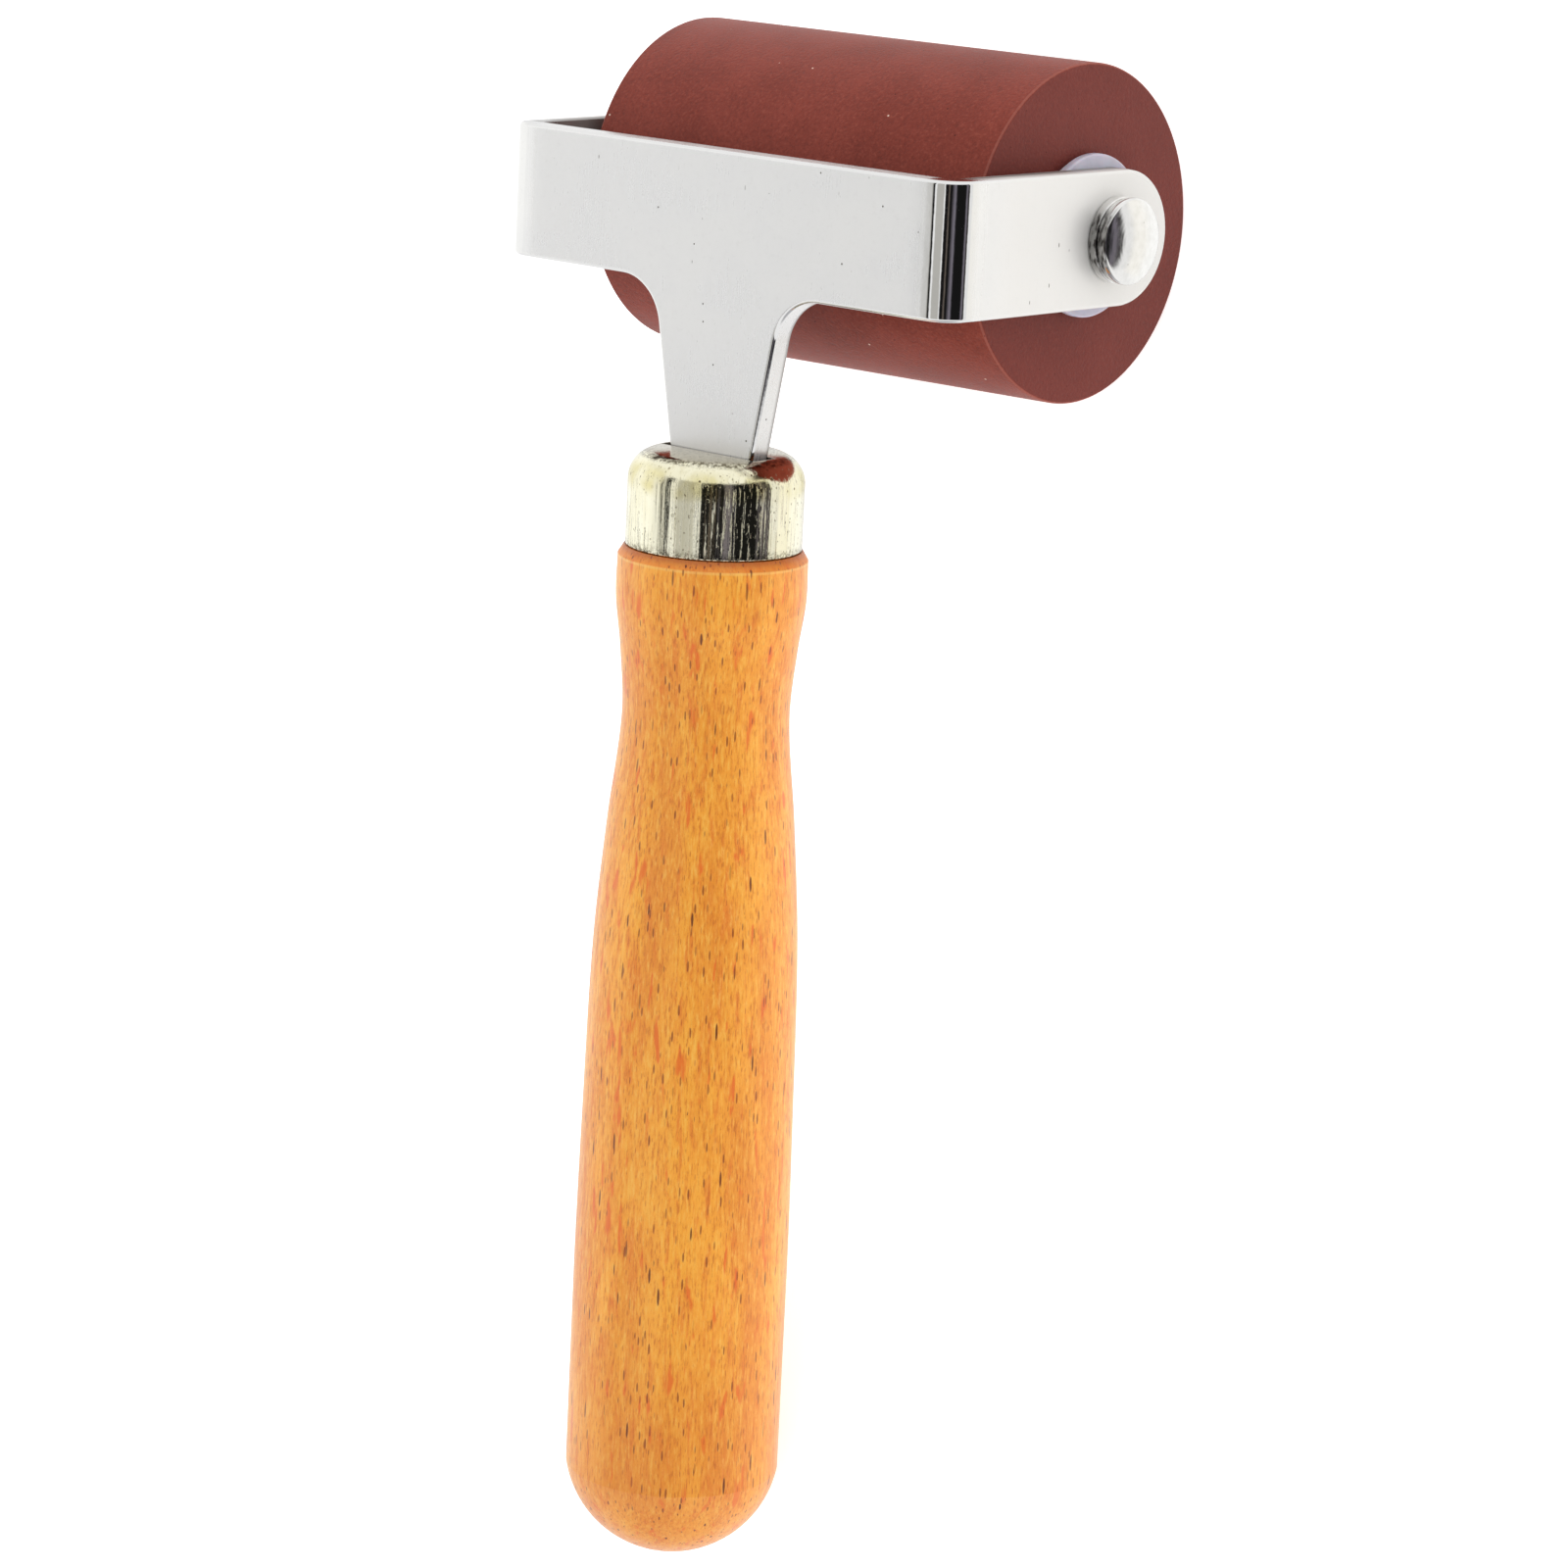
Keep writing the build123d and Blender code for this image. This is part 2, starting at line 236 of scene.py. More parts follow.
def on_axle(shape, side=1):
    """Lay a shape that was turned about Z along the axle, pointing to one side."""
    turn = Matrix.Rotation(math.radians(90), 4, "Y")
    mirror = Matrix.Diagonal((side, 1, 1, 1))
    place = Matrix.Translation((0, AXLE_Y, 0)) @ mirror @ turn
    bmesh.ops.transform(shape, matrix=place, verts=shape.verts)
    bmesh.ops.recalc_face_normals(shape, faces=shape.faces)
    return shape


def block(low, high):
    """A plain block, used only to cut slots with."""
    shape = bmesh.new()
    bmesh.ops.create_cube(shape, size=1)
    size = high - low
    place = Matrix.Translation((low + high) / 2) @ Matrix.Diagonal((*size, 1))
    bmesh.ops.transform(shape, matrix=place, verts=shape.verts)
    return shape


def to_object(shape, name):
    """Make an object, in metres, from a shape in millimetres."""
    mesh = bpy.data.meshes.new(name)
    shape.to_mesh(mesh)
    shape.free()
    mesh.transform(Matrix.Scale(MM, 4))
    made = bpy.data.objects.new(name, mesh)
    bpy.context.scene.collection.objects.link(made)
    return made


def apply_modifiers(piece):
    """Keep the piece's mesh as its modifiers leave it."""
    graph = bpy.context.evaluated_depsgraph_get()
    final = bpy.data.meshes.new_from_object(piece.evaluated_get(graph))
    piece.modifiers.clear()
    piece.data = final


def cut(piece, shape):
    """Cut a shape out of a piece."""
    cutter = to_object(shape, "cutter")
    boolean = piece.modifiers.new("cut", "BOOLEAN")
    boolean.operation = "DIFFERENCE"
    boolean.solver = "EXACT"
    boolean.object = cutter
    apply_modifiers(piece)
    bpy.data.objects.remove(cutter)


def finish_piece(piece, body, material, nodes, sharp_angle=35):
    """Shade a piece, put it in the tool's place, and hide the CAD nodes it stands for."""
    for polygon in piece.data.polygons:
        polygon.use_smooth = True
    piece.data.set_sharp_from_angle(angle=math.radians(sharp_angle))
    piece.data.materials.clear()
    piece.data.materials.append(material)
    piece.data.transform(TOOL)
    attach(piece, body)
    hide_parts(*nodes)


# ---- Materials ----
class Nodes:
    """A node tree while it is built. Its methods add nodes and return their outputs."""

    def __init__(self, tree):
        self.tree = tree

    def link(self, value, socket):
        """Link an output to an input, or set a plain value on it."""
        if isinstance(value, bpy.types.NodeSocket):
            self.tree.links.new(value, socket)
        else:
            socket.default_value = value

    def math(self, operation, first, second=0.0, third=0.0):
        node = self.tree.nodes.new("ShaderNodeMath")
        node.operation = operation
        for value, socket in zip((first, second, third), node.inputs):
            self.link(value, socket)
        return node.outputs["Value"]

    def remap(self, value, low, high, to_low=0.0, to_high=1.0):
        """Stretch a value from one range to another, smoothly and clamped."""
        node = self.tree.nodes.new("ShaderNodeMapRange")
        node.interpolation_type = "SMOOTHSTEP"
        self.link(value, node.inputs["Value"])
        self.link(low, node.inputs["From Min"])
        self.link(high, node.inputs["From Max"])
        self.link(to_low, node.inputs["To Min"])
        self.link(to_high, node.inputs["To Max"])
        return node.outputs["Result"]

    def times(self, first, second):
        """The product of two shares, or of a share and a number."""
        return self.math("MULTIPLY", first, second)

    def unsigned(self, value):
        """A value without its sign."""
        return self.math("ABSOLUTE", value)

    def mix(self, share, first, second):
        """A colour between two others."""
        node = self.tree.nodes.new("ShaderNodeMix")
        node.data_type = "RGBA"
        colours = [socket for socket in node.inputs if socket.type == "RGBA"]
        self.link(share, node.inputs["Factor"])
        self.link(first, colours[0])
        self.link(second, colours[1])
        return [socket for socket in node.outputs if socket.type == "RGBA"][0]

    def turned(self, vector, location=(0, 0, 0)):
        """A vector of the frame, seen in the tool's own axes."""
        mapping = self.tree.nodes.new("ShaderNodeMapping")
        mapping.vector_type = "TEXTURE"
        mapping.inputs["Location"].default_value = location
        mapping.inputs["Rotation"].default_value = TOOL.to_euler()
        self.link(vector, mapping.inputs["Vector"])
        return mapping.outputs["Vector"]

    def parts(self, vector):
        """The X, Y and Z of a vector."""
        node = self.tree.nodes.new("ShaderNodeSeparateXYZ")
        self.link(vector, node.inputs["Vector"])
        return node.outputs["X"], node.outputs["Y"], node.outputs["Z"]


class Paint(Nodes):
    """One material while it is built, with its patterns laid out in the tool's own axes."""

    def __init__(self, name, settings):
        self.material = bpy.data.materials.new(name)
        self.material.use_nodes = True
        super().__init__(self.material.node_tree)
        self.surface = self.tree.nodes["Principled BSDF"]
        for socket, value in settings.items():
            self.surface.inputs[socket].default_value = value
        place = self.tree.nodes.new("ShaderNodeTexCoord").outputs["Object"]
        self.place = self.turned(place, TOOL.translation)
        self.normal = self.turned(self.tree.nodes.new("ShaderNodeTexCoord").outputs["Normal"])

    def set(self, name, value):
        self.link(value, self.surface.inputs[name])

    def fade(self, place, start, end, low=0.0, high=1.0):
        """A share that goes from low to high between two places given in millimetres."""
        return self.remap(place, start * MM, end * MM, low, high)

    def away_from(self, place, line):
        """How far a place is, either way, from a line given in millimetres."""
        return self.unsigned(self.math("SUBTRACT", place, line * MM))

    def stretched(self, size):
        """Places counted in pattern cells of so many millimetres along X, Y and Z.

        One size is the same along all three.
        """
        size = size if isinstance(size, tuple) else (size, size, size)
        mapping = self.tree.nodes.new("ShaderNodeMapping")
        mapping.inputs["Scale"].default_value = [1 / (length * MM) for length in size]
        self.link(self.place, mapping.inputs["Vector"])
        return mapping.outputs["Vector"]

    def noise(self, size, detail=2.0, roughness=0.5, distortion=0.0):
        """Cloudy noise from 0 to 1, with cells of one size or of three."""
        node = self.tree.nodes.new("ShaderNodeTexNoise")
        self.link(self.stretched(size), node.inputs["Vector"])
        node.inputs["Scale"].default_value = 1.0
        node.inputs["Detail"].default_value = detail
        node.inputs["Roughness"].default_value = roughness
        node.inputs["Distortion"].default_value = distortion
        return node.outputs["Fac"]

    def specks(self, size, share, width):
        """Scattered specks, 1 inside and 0 outside, in a share of the pattern's cells."""
        node = self.tree.nodes.new("ShaderNodeTexVoronoi")
        self.link(self.stretched(size), node.inputs["Vector"])
        node.inputs["Scale"].default_value = 1.0
        split = self.tree.nodes.new("ShaderNodeSeparateColor")
        self.link(node.outputs["Color"], split.inputs["Color"])
        inside = self.remap(node.outputs["Distance"], width * 0.7, width, 1.0, 0.0)
        strength = self.remap(split.outputs["Red"], 1 - share, 1 - share / 3)
        return self.math("MULTIPLY", inside, strength)

    def bump(self, height, distance, normal=None):
        """A bump of so many millimetres."""
        node = self.tree.nodes.new("ShaderNodeBump")
        node.inputs["Distance"].default_value = distance * MM
        self.link(height, node.inputs["Height"])
        if normal is not None:
            self.link(normal, node.inputs["Normal"])
        return node.outputs["Normal"]


def rubber_paint():
    """Matt red-brown rubber with a fine ground grain and a few specks of dust."""
    settings = {"Specular IOR Level": 0.14, "Sheen Weight": 0.05, "Sheen Roughness": 0.35}
    paint = Paint("red_brown_rubber", settings)
    cloud = paint.noise(8, detail=4)
    grain = paint.noise(0.45, detail=3, roughness=0.75)
    dust = paint.specks(2.6, 0.45, 0.055)
    pits = paint.specks(1.7, 0.6, 0.08)
    colour = paint.mix(paint.remap(cloud, 0.3, 0.7), (0.208, 0.034, 0.021, 1), (0.252, 0.044, 0.028, 1))
    colour = paint.mix(paint.remap(grain, 0.5, 0.72, 0.0, 0.5), colour, (0.36, 0.090, 0.060, 1))
    colour = paint.mix(paint.remap(grain, 0.5, 0.30, 0.0, 0.5), colour, (0.12, 0.018, 0.010, 1))
    facing_end = paint.unsigned(paint.parts(paint.normal)[0])
    # Painted shade: the roller's end faces are coloured darker than its rolling face.
    painted_end_shade = paint.remap(facing_end, 0.90, 0.98, 0.0, 0.6)
    # Painted highlight: a lighter line on the rounded edge between the end faces and the rolling face.
    painted_rim_highlight = paint.times(paint.remap(facing_end, 0.15, 0.4), paint.remap(facing_end, 0.95, 0.8))
    colour = paint.mix(painted_end_shade, colour, (0.130, 0.031, 0.027, 1))
    colour = paint.mix(paint.times(painted_rim_highlight, 0.5), colour, (0.38, 0.13, 0.10, 1))
    colour = paint.mix(pits, colour, (0.07, 0.012, 0.008, 1))
    paint.set("Base Color", paint.mix(dust, colour, (0.85, 0.66, 0.55, 1)))
    paint.set("Roughness", paint.remap(grain, 0.3, 0.7, 0.44, 0.56))
    ground = paint.bump(grain, 0.08)
    paint.set("Normal", paint.bump(cloud, 0.08, ground))
    return paint.material


def nylon_paint():
    """Frosted white nylon, slightly see-through."""
    paint = Paint("white_nylon", {"Subsurface Weight": 0.3, "Subsurface Scale": 1.0 * MM})
    cloud = paint.noise(3, detail=3)
    specks = paint.specks(1.6, 0.4, 0.07)
    colour = paint.mix(paint.remap(cloud, 0.3, 0.7), (0.46, 0.445, 0.535, 1), (0.555, 0.54, 0.63, 1))
    paint.set("Base Color", paint.mix(specks, colour, (0.10, 0.09, 0.12, 1)))
    paint.set("Roughness", paint.remap(cloud, 0.3, 0.7, 0.38, 0.52))
    paint.set("Normal", paint.bump(paint.noise(0.4, detail=4), 0.02))
    return paint.material


# How metallic the satin flats are, on the plate and on the arms.
SATIN_METAL = 0.6
ARM_METAL = 0.35
# The polish of a bend starts this far before it, is full this far before it, and fades this far
# before its end. The look of the arm is full this far past it.
POLISH_START = 1.8
POLISH_FULL = 0.6
POLISH_FADE = 3.2
ARM_FADE = 6.0
# The painted shade on the inside starts this far within the arms' outer faces, and is full this far within.
INNER_SHADE_START = 1.0
INNER_SHADE_FULL = 2.0


def nickel_paint():
    """Nickel plate: satin on the flats with scuffs, pits and short scratches, bright on the bends."""
    paint = Paint("nickel_plate", {})
    x, y, _ = paint.parts(paint.place)
    out = paint.unsigned(x)
    bend_start = FLAT_HALF + BEND_REACH / 2
    bend_end = PLATE_FACE_Y + BEND_DEPTH
    on_bend = paint.times(
        paint.fade(out, bend_start - POLISH_START, bend_start - POLISH_FULL),
        paint.fade(y, bend_end, bend_end - POLISH_FADE),
    )
    # Painted shade on the inner faces of the plate and arms, where the roller sits between them.
    inside = paint.times(
        paint.fade(y, PLATE_THICKNESS / 4, PLATE_THICKNESS / 2),
        paint.fade(out, HALF_YOKE - INNER_SHADE_START, HALF_YOKE - INNER_SHADE_FULL),
    )
    tilt = paint.unsigned(paint.parts(paint.normal)[1])
    on_rim = paint.times(paint.remap(tilt, 0.99, 0.96), paint.remap(tilt, 0.03, 0.12))
    polished = paint.math("MAXIMUM", on_bend, on_rim)
    on_arm = paint.fade(y, bend_end - POLISH_FADE, bend_end + ARM_FADE)
    cloud = paint.noise((13, 13, 8), detail=4)
    scuffs = paint.noise((0.3, 0.3, 5.0), detail=4, roughness=0.75)
    mottle = paint.noise(0.7, detail=3, roughness=0.7)
    pits = paint.specks(1.9, 0.3, 0.07)
    dashes = paint.specks((1.3, 1.3, 5.0), 0.25, 0.07)
    marks = paint.math("MAXIMUM", pits, dashes)
    colour = paint.mix(paint.remap(cloud, 0.3, 0.7), (0.790, 0.790, 0.786, 1), (0.830, 0.828, 0.816, 1))
    colour = paint.mix(paint.remap(mottle, 0.5, 0.8, 0.0, 0.3), colour, (0.71, 0.70, 0.69, 1))
    colour = paint.mix(paint.remap(scuffs, 0.62, 0.8, 0.0, 0.5), colour, (0.60, 0.59, 0.57, 1))
    colour = paint.mix(paint.times(on_arm, 0.5), colour, (0.765, 0.740, 0.695, 1))
    # Painted shade: the inner faces are coloured dark.
    colour = paint.mix(paint.times(inside, 0.75), colour, (0.12, 0.10, 0.09, 1))
    paint.set("Base Color", paint.mix(marks, colour, (0.12, 0.10, 0.08, 1)))
    flat_metal = paint.remap(on_arm, 0.0, 1.0, SATIN_METAL, ARM_METAL)
    paint.set("Metallic", paint.math("MAXIMUM", polished, flat_metal))
    satin = paint.remap(paint.math("ADD", cloud, scuffs), 0.7, 1.3, 0.26, 0.36)
    satin = paint.math("MULTIPLY_ADD", on_arm, 0.12, satin)
    rough = paint.math("MULTIPLY_ADD", polished, paint.math("SUBTRACT", 0.05, satin), satin)
    paint.set("Roughness", paint.math("MULTIPLY_ADD", marks, 0.3, rough))
    waves = paint.bump(paint.noise((1.2, 1.2, 1.6), detail=2), 0.010)
    lines = paint.bump(scuffs, 0.002, waves)
    paint.set("Normal", paint.bump(marks, -0.02, lines))
    return paint.material


# The cap's side carries a painted dark reflection this far out from the axle's height, and stays bright past this.
DARK_REFLECTION_FULL = 2.6
DARK_REFLECTION_END = 4.6


def cap_paint():
    """Bright nickel on the pressed caps: polished sides, and a crown with faint turning marks."""
    paint = Paint("bright_nickel", {"Metallic": 1.0})
    x, y, z = paint.parts(paint.place)
    crown_start = CAP_FOOT_X + CAP_SIDE_HEIGHT
    crown = paint.fade(paint.unsigned(x), crown_start - 0.05, crown_start + 0.1)
    cloud = paint.noise(1.2, detail=4)
    pits = paint.specks(1.1, 0.3, 0.07)
    colour = paint.mix(paint.remap(cloud, 0.3, 0.7), (0.80, 0.795, 0.775, 1), (0.88, 0.875, 0.86, 1))
    below_crown = paint.math("SUBTRACT", 1.0, crown)
    # Painted reflection: a blotchy, nearly black band round the middle of the cap's polished side.
    side = paint.times(below_crown, paint.fade(paint.unsigned(z), DARK_REFLECTION_END, DARK_REFLECTION_FULL))
    blotches = paint.noise((0.35, 1.2, 1.2), detail=3)
    painted_dark_reflection = paint.times(side, paint.remap(blotches, 0.35, 0.60, 0.97, 0.55))
    colour = paint.mix(painted_dark_reflection, colour, (0.035, 0.030, 0.028, 1))
    paint.set("Base Color", paint.mix(pits, colour, (0.10, 0.08, 0.07, 1)))
    satin = paint.remap(cloud, 0.3, 0.7, 0.10, 0.18)
    bright = paint.remap(cloud, 0.3, 0.7, 0.03, 0.06)
    rougher = paint.math("SUBTRACT", satin, bright)
    paint.set("Roughness", paint.math("MULTIPLY_ADD", crown, rougher, bright))
    forward = paint.math("SUBTRACT", y, AXLE_Y * MM)
    squares = paint.math("ADD", paint.math("POWER", forward, 2.0), paint.math("POWER", z, 2.0))
    rings = paint.math("SINE", paint.times(paint.math("SQRT", squares), math.tau / (TURNING_PITCH * MM)))
    paint.set("Normal", paint.bump(rings, 0.0006, paint.bump(cloud, 0.002)))
    return paint.material


# Depths below the ferrule's top: the crease round its disc, the middle of the tarnish on its
# shoulder, and where the draw lines begin.
CREASE_DEPTH = 0.3
TARNISH_DEPTH = 2.6
DRAW_LINE_DEPTH = 1.5
# How far above the ferrule's foot the brass is coloured darker.
DARK_FOOT_HEIGHT = 1.3


def brass_paint():
    """Drawn brass: draw lines up its side, darker streaks, tarnish along its shoulder, and a dotted darker band at
    the crease round its disc and along its foot.
    """
    paint = Paint("drawn_brass", {"Metallic": 1.0})
    _, _, z = paint.parts(paint.place)
    cloud = paint.noise((4, 4, 7), detail=3)
    broad = paint.noise((0.8, 0.8, 30), detail=2)
    fine = paint.noise((0.34, 0.34, 9), detail=5, roughness=0.8)
    streak = paint.remap(fine, 0.56, 0.62, 0.0, 0.45)
    grit = paint.noise(0.5, detail=4, roughness=0.8)
    specks = paint.specks((0.5, 0.5, 0.8), 0.7, 0.22)
    spots = paint.specks(1.3, 0.6, 0.20)
    from_top = paint.math("SUBTRACT", FERRULE_TOP_Z * MM, z)
    on_side = paint.fade(from_top, DRAW_LINE_DEPTH, FERRULE_CORNER)
    at_crease = paint.fade(paint.away_from(from_top, CREASE_DEPTH), 0.5, 0.1)
    at_shoulder = paint.fade(paint.away_from(from_top, TARNISH_DEPTH), 2.4, 0.6)
    at_foot = paint.fade(z, SHOULDER_Z + DARK_FOOT_HEIGHT, SHOULDER_Z + 0.2)
    # A dotted darker band round the crease by the disc and along the foot.
    darker_crease_and_foot = paint.times(paint.math("MAXIMUM", at_foot, at_crease), paint.remap(grit, 0.42, 0.58))
    tarnish = paint.times(spots, paint.math("MULTIPLY_ADD", at_shoulder, 0.75, 0.25))
    marks = paint.math("MAXIMUM", tarnish, paint.times(specks, 0.6))
    colour = paint.mix(paint.remap(cloud, 0.3, 0.7), (0.90, 0.865, 0.66, 1), (0.96, 0.935, 0.76, 1))
    olive = paint.times(at_shoulder, paint.remap(cloud, 0.42, 0.62, 0.1, 0.7))
    colour = paint.mix(olive, colour, (0.68, 0.60, 0.24, 1))
    colour = paint.mix(paint.remap(broad, 0.5, 0.75, 0.0, 0.3), colour, (0.66, 0.60, 0.36, 1))
    colour = paint.mix(streak, colour, (0.56, 0.51, 0.32, 1))
    on_disc = paint.fade(from_top, 0.35, 0.1)
    dulled = paint.times(on_disc, paint.remap(grit, 0.3, 0.6, 0.8, 0.4))
    colour = paint.mix(dulled, colour, (0.58, 0.52, 0.42, 1))
    colour = paint.mix(marks, colour, (0.20, 0.15, 0.06, 1))
    paint.set("Base Color", paint.mix(paint.times(darker_crease_and_foot, 0.85), colour, (0.08, 0.055, 0.02, 1)))
    rough = paint.remap(paint.math("ADD", broad, grit), 0.7, 1.3, 0.04, 0.12)
    paint.set("Roughness", paint.math("MULTIPLY_ADD", marks, 0.2, rough))
    ribs = paint.bump(paint.times(broad, on_side), 0.055)
    lines = paint.bump(paint.times(streak, on_side), 0.07, ribs)
    paint.set("Normal", paint.bump(grit, 0.01, paint.bump(marks, -0.02, lines)))
    return paint.material


# How far up from the butt's end the wood is a little browner.
BROWN_BUTT_LENGTH = 40.0


def wood_paint():
    """Clear-lacquered orange-toned beech: streaked grain, and many short dark pores along it."""
    paint = Paint("lacquered_beech", {"Coat Roughness": 0.25, "Coat IOR": 1.5})
    _, _, z = paint.parts(paint.place)
    tone = paint.noise((5, 5, 22), detail=4)
    streaks = paint.noise((0.8, 0.8, 7), detail=3, roughness=0.6, distortion=0.3)
    fibres = paint.noise((0.28, 0.28, 2.0), detail=4, roughness=0.8, distortion=0.2)
    flames = paint.noise((1.1, 1.1, 6), detail=3, distortion=0.3)
    long_pores = paint.specks((0.95, 0.95, 7.5), 0.6, 0.17)
    short_pores = paint.specks((0.6, 0.6, 3.6), 0.7, 0.22)
    ticks = paint.specks((0.34, 0.34, 1.8), 0.8, 0.26)
    colour = paint.mix(paint.remap(tone, 0.3, 0.7), (0.82, 0.270, 0.013, 1), (0.96, 0.400, 0.030, 1))
    colour = paint.mix(paint.remap(streaks, 0.52, 0.68, 0.0, 0.7), colour, (0.78, 0.190, 0.008, 1))
    colour = paint.mix(paint.remap(streaks, 0.46, 0.28, 0.0, 0.6), colour, (0.96, 0.50, 0.070, 1))
    colour = paint.mix(paint.remap(fibres, 0.51, 0.65, 0.0, 0.65), colour, (0.56, 0.120, 0.005, 1))
    colour = paint.mix(paint.remap(fibres, 0.49, 0.34, 0.0, 0.6), colour, (0.98, 0.56, 0.100, 1))
    colour = paint.mix(paint.remap(flames, 0.60, 0.70, 0.0, 0.8), colour, (0.80, 0.130, 0.005, 1))
    near_butt = paint.fade(z, BUTT_END_Z + BROWN_BUTT_LENGTH, BUTT_END_Z, 0.0, 0.3)
    crease_z = SHOULDER_Z - SHOULDER_CHAMFER_HEIGHT
    on_ring = paint.fade(z, crease_z - 0.05, crease_z + 0.15)
    # Painted shade: the wood is darker just under the ferrule's foot.
    painted_shade_under_brass = paint.fade(z, crease_z + 0.2, SHOULDER_Z)
    # Painted highlight: a thin lighter line along the lower edge of the shoulder's chamfer.
    painted_crease_highlight = paint.fade(paint.away_from(z, crease_z - 0.1), 0.22, 0.08)
    colour = paint.mix(near_butt, colour, (0.70, 0.200, 0.016, 1))
    colour = paint.mix(paint.times(on_ring, 0.6), colour, (0.72, 0.170, 0.004, 1))
    colour = paint.mix(paint.times(painted_shade_under_brass, 0.6), colour, (0.28, 0.045, 0.002, 1))
    colour = paint.mix(paint.times(painted_crease_highlight, 0.4), colour, (0.96, 0.60, 0.16, 1))
    colour = paint.mix(paint.times(ticks, 0.5), colour, (0.44, 0.070, 0.003, 1))
    colour = paint.mix(paint.times(short_pores, 0.75), colour, (0.24, 0.036, 0.002, 1))
    colour = paint.mix(paint.times(long_pores, 0.9), colour, (0.12, 0.016, 0.001, 1))
    paint.set("Base Color", colour)
    paint.set("Coat Weight", paint.remap(on_ring, 0.0, 1.0, 0.4, 0.05))
    paint.set("Roughness", paint.remap(streaks, 0.3, 0.7, 0.34, 0.46))
    grain = paint.bump(fibres, 0.03)
    dents = paint.bump(paint.noise(9, detail=1), 0.12, grain)
    paint.set("Normal", paint.bump(paint.math("MAXIMUM", long_pores, short_pores), -0.05, dents))
    return paint.material


def rod_paint():
    """Drawn steel rod with lines along it."""
    paint = Paint("steel_rod", {"Metallic": 1.0})
    lines = paint.noise((9, 0.15, 0.15), detail=3)
    paint.set("Base Color", paint.mix(lines, (0.50, 0.49, 0.47, 1), (0.62, 0.61, 0.60, 1)))
    paint.set("Roughness", paint.remap(lines, 0.3, 0.7, 0.22, 0.38))
    paint.set("Normal", paint.bump(lines, 0.004))
    return paint.material


def spring_steel_paint():
    """Dark tempered spring steel."""
    paint = Paint("spring_steel", {"Metallic": 1.0})
    cloud = paint.noise(0.8, detail=4)
    paint.set("Base Color", paint.mix(cloud, (0.22, 0.22, 0.25, 1), (0.33, 0.32, 0.33, 1)))
    paint.set("Roughness", paint.remap(cloud, 0.3, 0.7, 0.3, 0.5))
    paint.set("Normal", paint.bump(cloud, 0.006))
    return paint.material


def core_paint():
    """Plain moulded plastic of the roller's core."""
    paint = Paint("core_plastic", {})
    cloud = paint.noise(4, detail=4)
    paint.set("Base Color", paint.mix(cloud, (0.70, 0.70, 0.72, 1), (0.78, 0.78, 0.80, 1)))
    paint.set("Roughness", paint.remap(cloud, 0.3, 0.7, 0.4, 0.55))
    paint.set("Normal", paint.bump(paint.noise(0.5, detail=3), 0.01))
    return paint.material


# ---- Roller ----
def make_sleeve(material):
    outline = rounded([
        (CORE_RADIUS, -HALF_ROLLER, 0),
        (ROLLER_RADIUS, -HALF_ROLLER, SLEEVE_EDGE_RADIUS),
        (ROLLER_RADIUS, HALF_ROLLER, SLEEVE_EDGE_RADIUS),
        (CORE_RADIUS, HALF_ROLLER, 0),
    ], step_degrees=15)
    piece = to_object(on_axle(lathe(outline, segments=192)), "roller_rubber")
    finish_piece(piece, "roller", material, ["rubber_sleeve"])


def make_bush(side, name, node, material):
    bore = ROD_RADIUS + BORE_CLEARANCE
    outline = rounded([
        (bore, SPIGOT_END_X, 0),
        (SPIGOT_RADIUS, SPIGOT_END_X, 0),
        (SPIGOT_RADIUS, HALF_ROLLER, 0),
        (COLLAR_RADIUS, HALF_ROLLER, 0),
        (COLLAR_RADIUS, FLANGE_FACE_X - FLANGE_THICKNESS, 0),
        (FLANGE_RADIUS, FLANGE_FACE_X - FLANGE_THICKNESS, FLANGE_BACK_RADIUS),
        (FLANGE_RADIUS, FLANGE_FACE_X, BUSH_EDGE_RADIUS),
        (bore, FLANGE_FACE_X, 0),
    ], step_degrees=15)
    piece = to_object(on_axle(lathe(outline, segments=96), side), name)
    finish_piece(piece, "roller", material, [node])


# ---- Caps ----
CAP_LIP_HEIGHT = 1.25
CAP_GROOVE = 0.3
CAP_SIDE_HEIGHT = 2.6
CROWN_BEVEL = 0.12
CAP_WALL = 0.6
CAP_MOUTH_RADIUS = 3.5
CAP_MOUTH_LIP = 0.35
CAP_EDGE_RADIUS = 0.2
CAP_CORNER_RADIUS = 0.1
TURNING_PITCH = 0.45


